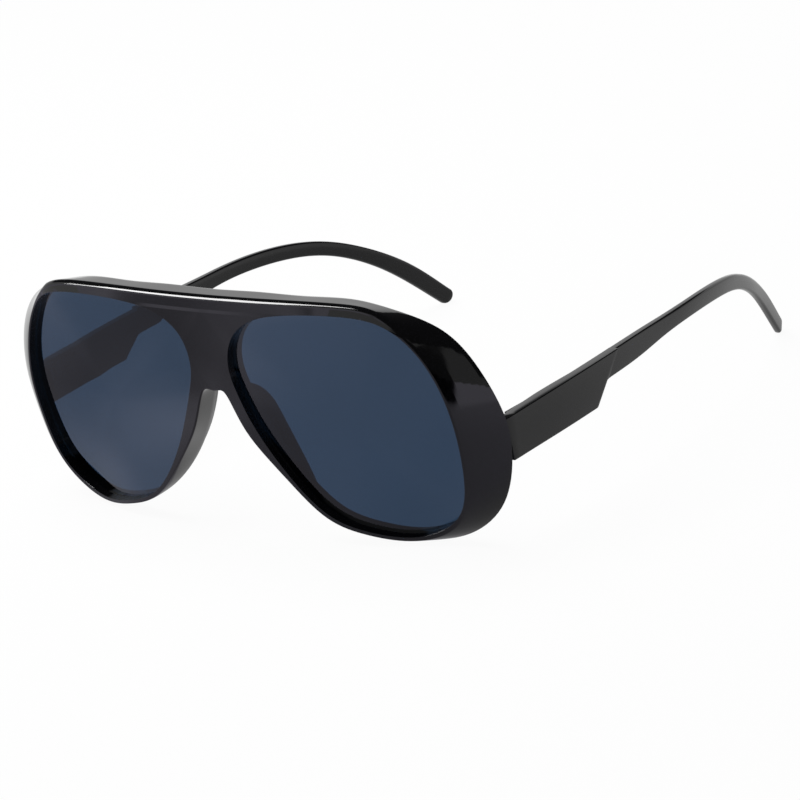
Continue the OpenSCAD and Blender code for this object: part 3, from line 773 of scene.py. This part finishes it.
# %% [markdown]
# ### Dyed polycarbonate lens, hard-coated
# The lens is clear plastic dyed blue-grey through its thickness, with a hard polished coat. It
# lets only a few hundredths of the light through, more of the blue than of the red. The dye is
# even to the eye, so its clouds are wide, 56 mm across, and faint.

# %% Tinted lens
DYE_CLOUDS = 18
tint, tree = material("dyed_blue_grey_lens")
place = add(tree, "ShaderNodeTexCoord").outputs["Object"]
dye = add(tree, "ShaderNodeTexNoise", {"Scale": DYE_CLOUDS, "Detail": 2}, Vector=place)
shade = add(tree, "ShaderNodeValToRGB", {}, Fac=dye)
shade.color_ramp.elements[0].color = colour("213549")
shade.color_ramp.elements[1].color = colour("253a52")
glass = add(tree, "ShaderNodeBsdfPrincipled", {"Transmission Weight": 1, "IOR": 1.5,
            "Roughness": 0}, Base_Color=shade)
add(tree, "ShaderNodeOutputMaterial", {}, Surface=glass)
for piece in (lens, lens_twin):
    put_on(piece, tint)
print("lens tint made")

# %% [markdown]
# ### Black-plated hinges and blackened screws
# The leaves and knuckles are cast nickel silver, tumbled smooth and plated black, so they hide
# beside the plastic. The screws are turned steel, blackened in hot oil, with faint marks of the
# lathe. The eye gets a dark metal with a soft broken shine. Both keep the metal's default IOR.

# %% Plated and blackened metal
GRAIN_STRENGTH, GRAIN_HIGH = .25, .00003


def dark_metal(name, code, rough_low, rough_high, grain_mm, flat):
    """flat stretches the grain along the axes, as turning does."""
    made, tree = material(name)
    place = add(tree, "ShaderNodeTexCoord").outputs["Object"]
    fit = add(tree, "ShaderNodeMapping", {"Scale": flat}, Vector=place)
    grain = add(tree, "ShaderNodeTexNoise", {"Scale": 1000 / grain_mm, "Detail": 3},
                Vector=fit)
    rough = add(tree, "ShaderNodeMapRange", {3: rough_low, 4: rough_high}, Value=grain)
    skin = add(tree, "ShaderNodeBump", {"Strength": GRAIN_STRENGTH, "Distance": GRAIN_HIGH},
               Height=grain)
    tone = add(tree, "ShaderNodeValToRGB", {}, Fac=grain)
    tone.color_ramp.elements[0].color = [c * .8 for c in colour(code)[:3]] + [1]
    tone.color_ramp.elements[1].color = colour(code)
    shader = add(tree, "ShaderNodeBsdfPrincipled", {"Metallic": 1}, Base_Color=tone,
                 Roughness=rough, Normal=skin)
    add(tree, "ShaderNodeOutputMaterial", {}, Surface=shader)
    return made


nickel = dark_metal("black_plated_nickel_silver", "3c3b3d", .24, .42, .35, (1, 1, 1))
steel = dark_metal("blackened_steel_screw", "4a4a4d", .18, .32, .25, (1, 1, 4))
for name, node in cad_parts.items():
    if "leaf_screws" in name or "pivot" in name:
        put_on(node, steel)
    elif "hinge_leaf" in name:
        put_on(node, nickel)
print("metals made")

# %% [markdown]
# ## Floor, room and lamps
# Polished black shows nothing but the room, so the room is what paints it. A white screen stands
# behind the glasses, a grey wall in front and at the left, and a slanted grey card at the right,
# with black above. The glasses stand on white paper. What gloss sees of that paper is a painted
# glow in several greys, with painted pools of light and painted shade, as in a studio where the
# light falls off and a black flag stands beside the camera; no flag stands there. The camera
# sees the paper white with a faint real shadow, and so it does through the lenses.

# %% The floor, and the painted glow that gloss sees on the paper in front of the glasses
bpy.ops.object.select_all(action="DESELECT")
bpy.ops.mesh.primitive_plane_add(size=6, location=(0, 0, 0))
floor = bpy.context.object
floor.name = "studio_floor"
# A Map Range node changes softly from where input 1 says to where input 2 says. Inputs 3 and 4
# are what it gives there, which is 0 and 1 if they aren't set.
SMOOTH = {"interpolation_type": "SMOOTHSTEP"}
TIMES, PLUS, LESS, HIGHER = ({"operation": name}
                             for name in ("MULTIPLY", "ADD", "SUBTRACT", "MAXIMUM"))
# Painted brightness of the paper's glow as gloss sees it, from the left to the right, over 0.4 m of
# paper.
FROM_LEFT = ((0, .95), (.1, .41), (.18, .54), (.28, .86), (.42, .64), (.5, .60), (.62, .55),
             (.70, .42), (1, 1))
paper_floor_painted_gloss, tree = material("white_paper_floor_painted_gloss_glow")
spot = add(tree, "ShaderNodeTexCoord").outputs["Object"]
part = add(tree, "ShaderNodeSeparateXYZ", {}, Vector=spot)
x, y = part.outputs["X"], part.outputs["Y"]
across = add(tree, "ShaderNodeMapRange", {**SMOOTH, 1: -.2, 2: .2}, Value=x)
painted_front_glow = add(tree, "ShaderNodeValToRGB", {}, Fac=across)
painted_front_glow.color_ramp.interpolation = "B_SPLINE"
greys = painted_front_glow.color_ramp.elements
for place, level in FROM_LEFT:
    grey = greys[0] if place == 0 else greys[-1] if place == 1 else greys.new(place)
    grey.color = (level, level, level, 1)
print("greys of the paper", len(greys))

# %% A painted bright spot in the paper's glow, which the ramp under the brow mirrors as a line of light, and paler glow farther off
RAMP_SPOT = (-.075, -.128, 0)
to_ramp_spot = add(tree, "ShaderNodeVectorMath", {"operation": "DISTANCE", 1: RAMP_SPOT}, _0=spot)
painted_ramp_light = add(tree, "ShaderNodeMapRange", {**SMOOTH, 1: .045, 2: .015, 4: .32},
                Value=to_ramp_spot.outputs["Value"])
painted_front_glow = add(tree, "ShaderNodeMath", PLUS, _0=painted_front_glow, _1=painted_ramp_light)
farther = add(tree, "ShaderNodeMapRange", {**SMOOTH, 1: -.155, 2: -.202, 3: .78, 4: 1.1}, Value=y)
painted_front_glow = add(tree, "ShaderNodeMath", TIMES, _0=painted_front_glow, _1=farther)
print("brighter spot at", RAMP_SPOT)

# %% The painted glow that gloss sees on the paper behind the front: painted dimmer in the middle, with a painted bright spot under the notch
NOTCH_SPOT = (0, -.04, 0)
painted_back_glow = add(tree, "ShaderNodeMapRange", {**SMOOTH, 1: -.05, 2: .14, 3: .52, 4: .84}, Value=y)
to_right = add(tree, "ShaderNodeMapRange", {**SMOOTH, 1: .02, 2: .08, 3: .72, 4: 1}, Value=x)
to_back = add(tree, "ShaderNodeMapRange", {**SMOOTH, 1: .09, 2: .13}, Value=y)
to_left = add(tree, "ShaderNodeMapRange", {**SMOOTH, 1: -.075, 2: -.11, 4: 1.3}, Value=x)
outside = add(tree, "ShaderNodeMath", HIGHER, _0=to_right, _1=to_back)
outside = add(tree, "ShaderNodeMath", HIGHER, _0=outside, _1=to_left)
painted_back_glow = add(tree, "ShaderNodeMath", TIMES, _0=painted_back_glow, _1=outside)
to_notch = add(tree, "ShaderNodeVectorMath", {"operation": "DISTANCE", 1: NOTCH_SPOT}, _0=spot)
painted_notch_light = add(tree, "ShaderNodeMapRange", {**SMOOTH, 1: .038, 2: .015, 4: .6},
                 Value=to_notch.outputs["Value"])
painted_back_glow = add(tree, "ShaderNodeMath", PLUS, _0=painted_back_glow, _1=painted_notch_light)
backward = add(tree, "ShaderNodeMapRange", {**SMOOTH, 1: -.078, 2: -.06}, Value=y)
painted_gloss_light = add(tree, "ShaderNodeMix", {"data_type": "FLOAT"}, _0=backward, _2=painted_front_glow, _3=painted_back_glow)
print("bright spot under the notch at", NOTCH_SPOT)

# %% Painted shade at the front right, where a black flag would stand, and a painted cool tint of the glow from the paper in front
PAINTED_FLAG_EDGE = (.681, .658, 0)
beside_painted_flag = add(tree, "ShaderNodeVectorMath", {"operation": "DOT_PRODUCT", 1: PAINTED_FLAG_EDGE}, _0=spot)
painted_flag_shade = add(tree, "ShaderNodeMapRange", {**SMOOTH, 1: -.011, 2: -.019},
           Value=beside_painted_flag.outputs["Value"])
painted_flag_front = add(tree, "ShaderNodeMapRange", {**SMOOTH, 1: -.15, 2: -.22}, Value=y)
painted_flag_right = add(tree, "ShaderNodeMapRange", {**SMOOTH, 1: .05, 2: .10}, Value=x)
painted_flag_shade = add(tree, "ShaderNodeMath", TIMES, _0=painted_flag_shade, _1=painted_flag_front)
painted_flag_shade = add(tree, "ShaderNodeMath", TIMES, _0=painted_flag_shade, _1=painted_flag_right)
outside_painted_flag = add(tree, "ShaderNodeMath", {**LESS, 0: 1}, _1=painted_flag_shade)
painted_gloss_light = add(tree, "ShaderNodeMath", TIMES, _0=painted_gloss_light, _1=outside_painted_flag)
painted_cool_tint = add(tree, "ShaderNodeMix", {"data_type": "RGBA", 6: (.97, .94, 1.1, 1), 7: (1, 1, 1, 1)},
           Factor=backward)
# Painted light: gloss sees the paper as this emitted glow in the painted greys above, not as paper
# lit by the lamps.
painted_paper_glow = add(tree, "ShaderNodeEmission", {}, Color=painted_cool_tint.outputs[2], Strength=painted_gloss_light)
print("nodes of the mirrored paper", len(tree.nodes))


# %% What the camera sees of the floor
def seen_directly(tree, rays):
    """1 for the camera's rays and those through a lens, but not once a gloss has mirrored them."""
    once = add(tree, "ShaderNodeMath", {"operation": "MINIMUM", 1: 1},
               _0=rays.outputs["Glossy Depth"])
    unmirrored = add(tree, "ShaderNodeMath", {**LESS, 0: 1}, _1=once)
    through = add(tree, "ShaderNodeMath", TIMES, _0=rays.outputs["Is Transmission Ray"],
                  _1=unmirrored)
    return add(tree, "ShaderNodeMath", HIGHER, _0=rays.outputs["Is Camera Ray"], _1=through)


# The paper glows nearly white, and the rest of its tone is lit, which keeps a faint shadow.
GLOWING_SHARE = .95
rays = add(tree, "ShaderNodeLightPath")
paper = add(tree, "ShaderNodeBsdfDiffuse", {"Color": colour("f4f4f4")})
glow = add(tree, "ShaderNodeEmission", {"Color": (1, 1, 1, 1), "Strength": 1})
gloss = add(tree, "ShaderNodeMixShader", {}, _0=rays.outputs["Is Glossy Ray"], _1=paper,
            _2=painted_paper_glow)
whitened = add(tree, "ShaderNodeMath", {**TIMES, 1: GLOWING_SHARE}, _0=seen_directly(tree, rays))
seen = add(tree, "ShaderNodeMixShader", {}, _0=whitened, _1=gloss, _2=glow)
add(tree, "ShaderNodeOutputMaterial", {}, Surface=seen)
put_on(floor, paper_floor_painted_gloss)
print("floor nodes", len(tree.nodes))

# %% The white screen behind, and the grey walls in front and at the left
world = bpy.data.worlds.new("studio_room")
bpy.context.scene.world = world
world.use_nodes = True
tree = world.node_tree
tree.nodes.clear()
way = add(tree, "ShaderNodeTexCoord").outputs["Generated"]
part = add(tree, "ShaderNodeSeparateXYZ", {}, Vector=way)
x, y, z = (part.outputs[axis] for axis in "XYZ")
screen = add(tree, "ShaderNodeMapRange", {**SMOOTH, 1: .02, 2: .22}, Value=y)
screen_top = add(tree, "ShaderNodeMapRange", {**SMOOTH, 1: .46, 2: .38}, Value=z)
screen_tone = add(tree, "ShaderNodeMapRange", {**SMOOTH, 1: .10, 2: .28, 3: .70, 4: .84}, Value=z)
screen = add(tree, "ShaderNodeMath", TIMES, _0=screen, _1=screen_top)
screen = add(tree, "ShaderNodeMath", TIMES, _0=screen, _1=screen_tone)
wall = add(tree, "ShaderNodeMapRange", {**SMOOTH, 1: -.02, 2: -.10, 4: .62}, Value=y)
wall_top = add(tree, "ShaderNodeMapRange", {**SMOOTH, 1: .42, 2: .30}, Value=z)
wall_end = add(tree, "ShaderNodeMapRange", {**SMOOTH, 1: .22, 2: .12}, Value=x)
wall = add(tree, "ShaderNodeMath", TIMES, _0=wall, _1=wall_top)
wall = add(tree, "ShaderNodeMath", TIMES, _0=wall, _1=wall_end)
left_wall = add(tree, "ShaderNodeMapRange", {**SMOOTH, 1: -.5, 2: -.7, 4: .8}, Value=x)
left_wall = add(tree, "ShaderNodeMath", TIMES, _0=left_wall, _1=screen_top)
walls = add(tree, "ShaderNodeMath", HIGHER, _0=wall, _1=left_wall)
walls = add(tree, "ShaderNodeMath", HIGHER, _0=screen, _1=walls)
print("nodes of screen and walls", len(tree.nodes))

# %% The slanted grey card at the right
CARD_SLANT, CARD_SIDE = (.681, .658, -.321), (-.537, -.843, 0)
past_slant = add(tree, "ShaderNodeVectorMath", {"operation": "DOT_PRODUCT", 1: CARD_SLANT}, _0=way)
past_side = add(tree, "ShaderNodeVectorMath", {"operation": "DOT_PRODUCT", 1: CARD_SIDE}, _0=way)
card = add(tree, "ShaderNodeMapRange", {**SMOOTH, 1: -.006, 2: .006},
           Value=past_slant.outputs["Value"])
card_side = add(tree, "ShaderNodeMapRange", {**SMOOTH, 1: -.01, 2: .01},
                Value=past_side.outputs["Value"])
card_foot = add(tree, "ShaderNodeMapRange", {**SMOOTH, 1: .13, 2: .08}, Value=z)
card_side = add(tree, "ShaderNodeMath", HIGHER, _0=card_side, _1=card_foot)
card_top = add(tree, "ShaderNodeMapRange", {**SMOOTH, 1: .62, 2: .56, 4: .38}, Value=z)
card = add(tree, "ShaderNodeMath", TIMES, _0=card, _1=card_side)
card = add(tree, "ShaderNodeMath", TIMES, _0=card, _1=card_top)
print("square to the card's edges", CARD_SLANT, CARD_SIDE)

# %% The dark ceiling, and what lights the glasses and stands behind them
CEILING, FILL = .05, .12
room = add(tree, "ShaderNodeMath", {**HIGHER, 1: CEILING}, _0=card)
room = add(tree, "ShaderNodeMath", HIGHER, _0=walls, _1=room)
mirrored_room = add(tree, "ShaderNodeBackground", {"Color": (1, 1, 1, 1)}, Strength=room)
fill = add(tree, "ShaderNodeBackground", {"Color": (1, 1, 1, 1), "Strength": FILL})
white = add(tree, "ShaderNodeBackground", {"Color": (1, 1, 1, 1), "Strength": 1})
rays = add(tree, "ShaderNodeLightPath")
gloss = add(tree, "ShaderNodeMixShader", {}, _0=rays.outputs["Is Glossy Ray"], _1=fill,
            _2=mirrored_room)
pick = add(tree, "ShaderNodeMixShader", {}, _0=seen_directly(tree, rays), _1=gloss, _2=white)
add(tree, "ShaderNodeOutputWorld", {}, Surface=pick)
print("room nodes", len(tree.nodes))

# %% [markdown]
# ### Lamps
# A large softbox above gives the glasses their faint shadow. It stays out of the gloss, or the
# brow's upper face would turn white. A strip box at the front left is mirrored by the brow's
# bevel as a thin bright line. It may be mirrored only once, because rim and lens together would
# throw it back as a stray patch.

# %% Two lamps
def softbox(name, place, aim, wide, tall, watts):
    """A rectangular area lamp at a place, turned to its aim and not seen through the lenses."""
    bpy.ops.object.light_add(type="AREA", location=place)
    lamp = bpy.context.object
    lamp.name = name
    lamp.data.shape, lamp.data.size, lamp.data.size_y = "RECTANGLE", wide, tall
    lamp.data.energy = watts
    lamp.rotation_euler = (Vector(aim) - Vector(place)).to_track_quat("-Z", "Y").to_euler()
    lamp.visible_transmission = False
    return lamp


overhead = softbox("softbox_overhead", (-.35, -.05, .80), (0, 0, 0), .8, .8, 9)
overhead.visible_glossy = False
strip_box = softbox("strip_box_for_the_brow", (-.735, -.845, .62), (0, -.07, .05), .45, .8, 25)
strip_box.visible_diffuse = False

# %% The strip box shows in a first reflection only
strip_box.data.use_nodes = True
tree = strip_box.data.node_tree
tree.nodes.clear()
rays = add(tree, "ShaderNodeLightPath")
first_only = add(tree, "ShaderNodeMath", {"operation": "LESS_THAN", 1: 1.5},
                 _0=rays.outputs["Glossy Depth"])
strip_light = add(tree, "ShaderNodeEmission", {"Color": (1, 1, 1, 1)}, Strength=first_only)
add(tree, "ShaderNodeOutputLight", {}, Surface=strip_light)
print("strip box nodes", len(tree.nodes))

# %% View settings
bpy.context.scene.view_settings.view_transform = "Standard"
